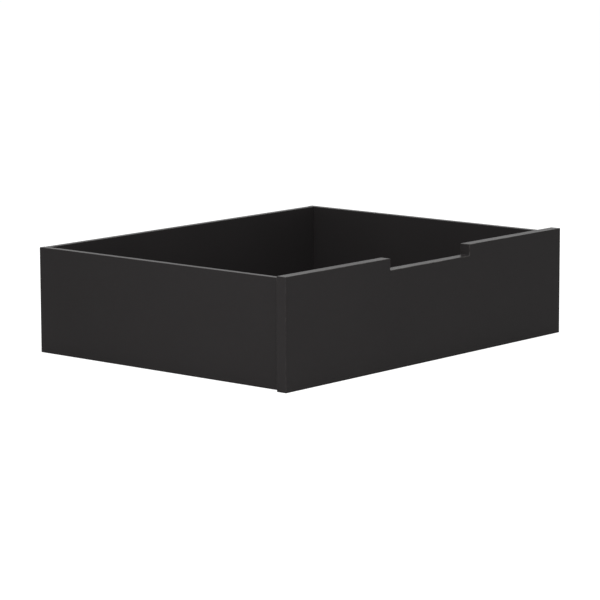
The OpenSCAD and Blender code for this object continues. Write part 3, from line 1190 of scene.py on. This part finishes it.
def make_floor(studio):
    """A pale floor that the camera sees as white, with the drawer's soft shadow left on it."""
    bm = bmesh.new()
    bmesh.ops.create_circle(
        bm, cap_ends=True, segments=96, radius=studio.floor_size,
        matrix=Matrix.Translation((0, 0, -FLOOR_GAP)))
    floor = mesh_object("studio_floor", bm)
    material = bpy.data.materials.new("studio_floor")
    material.use_nodes = True
    tree = NodeTree(material.node_tree)
    plain = material.node_tree.nodes["Principled BSDF"]
    plain.inputs["Base Color"].default_value = (*studio.floor_colour, 1)
    plain.inputs["Roughness"].default_value = 0.9
    plain.inputs["Specular IOR Level"].default_value = 0.0
    thin = tree.add("ShaderNodeBsdfDiffuse", Color=(FLOOR_LIT, FLOOR_LIT, FLOOR_LIT, 1))
    glow = tree.add("ShaderNodeEmission", Strength=FLOOR_GLOW)
    both = tree.add("ShaderNodeAddShader", thin.outputs["BSDF"], glow.outputs["Emission"])
    show_directly(tree, plain.outputs["BSDF"], both.outputs["Shader"], "Material Output")
    floor.data.materials.append(material)


def make_sky(studio):
    """Even light from all round, and a white background for the camera."""
    world = bpy.data.worlds.new("studio")
    bpy.context.scene.world = world
    world.use_nodes = True
    tree = NodeTree(world.node_tree)
    light = world.node_tree.nodes["Background"]
    white = tree.add("ShaderNodeBackground")
    for shader, strength in ((light, studio.sky), (white, 1.0)):
        shader.inputs["Color"].default_value = (1, 1, 1, 1)
        shader.inputs["Strength"].default_value = strength
    show_directly(tree, light.outputs["Background"], white.outputs["Background"], "World Output")


def soft_lamp(name, power, size, place, target):
    lamp = bpy.data.lights.new(name, "AREA")
    lamp.energy = power
    lamp.shape = "DISK"
    lamp.size = size
    made = new_object(name, lamp)
    made.location = place
    made.rotation_mode = "QUATERNION"
    made.rotation_quaternion = (target - Vector(place)).to_track_quat("-Z", "Y")


def make_lamps(studio):
    for name, (size, place) in LAMPS.items():
        soft_lamp(name, getattr(studio, name), size, place, middle(cad_box))


def make_camera(studio):
    """The camera looks at the middle of the drawer, from its front left corner."""
    a, e = studio.azimuth, studio.elevation
    back = Vector((math.sin(a) * math.cos(e), -math.cos(a) * math.cos(e), math.sin(e)))
    lens = bpy.data.cameras.new("camera")
    lens.lens = studio.lens
    lens.sensor_width = 36.0
    lens.shift_x, lens.shift_y = studio.shift
    camera = new_object("camera", lens)
    camera.location = middle(cad_box) + back * studio.distance
    camera.rotation_mode = "QUATERNION"
    level = (-back).to_track_quat("-Z", "Y")
    camera.rotation_quaternion = level @ Matrix.Rotation(studio.roll, 3, "Z").to_quaternion()
    bpy.context.scene.camera = camera


# ---------- panel and registration ----------

STEPS = (
    DRAWER_OT_front_panel, DRAWER_OT_side_panels, DRAWER_OT_back_panel, DRAWER_OT_bottom_panel,
    DRAWER_OT_support_rail, DRAWER_OT_cam_locks, DRAWER_OT_cam_bolts, DRAWER_OT_dowels, DRAWER_OT_studio)
SETTINGS = {
    "drawer_boards": BoardSizes,
    "drawer_fittings": FittingSizes,
    "drawer_finish": Finish,
    "drawer_studio": Studio,
}


class DRAWER_PT_panel(bpy.types.Panel):
    """Lists the drawer's settings and the steps that make it"""

    bl_idname = "DRAWER_PT_panel"
    bl_label = "Open storage drawer"
    bl_space_type = "VIEW_3D"
    bl_region_type = "UI"
    bl_category = "Drawer"

    def draw(self, context):
        for step in STEPS:
            self.layout.operator(step.bl_idname)
        for name, kind in SETTINGS.items():
            box = self.layout.box()
            box.label(text=kind.__name__)
            for key in kind.__annotations__:
                box.prop(getattr(context.scene, name), key)


def register():
    for kind in (*SETTINGS.values(), *STEPS, DRAWER_PT_panel):
        bpy.utils.register_class(kind)
    for name, kind in SETTINGS.items():
        setattr(bpy.types.Scene, name, PointerProperty(type=kind))


def unregister():
    for name in SETTINGS:
        delattr(bpy.types.Scene, name)
    for kind in (DRAWER_PT_panel, *reversed(STEPS), *SETTINGS.values()):
        bpy.utils.unregister_class(kind)


def main():
    register()
    for step in STEPS:
        group, name = step.bl_idname.split(".")
        getattr(getattr(bpy.ops, group), name)()


if __name__ == "__main__":
    main()
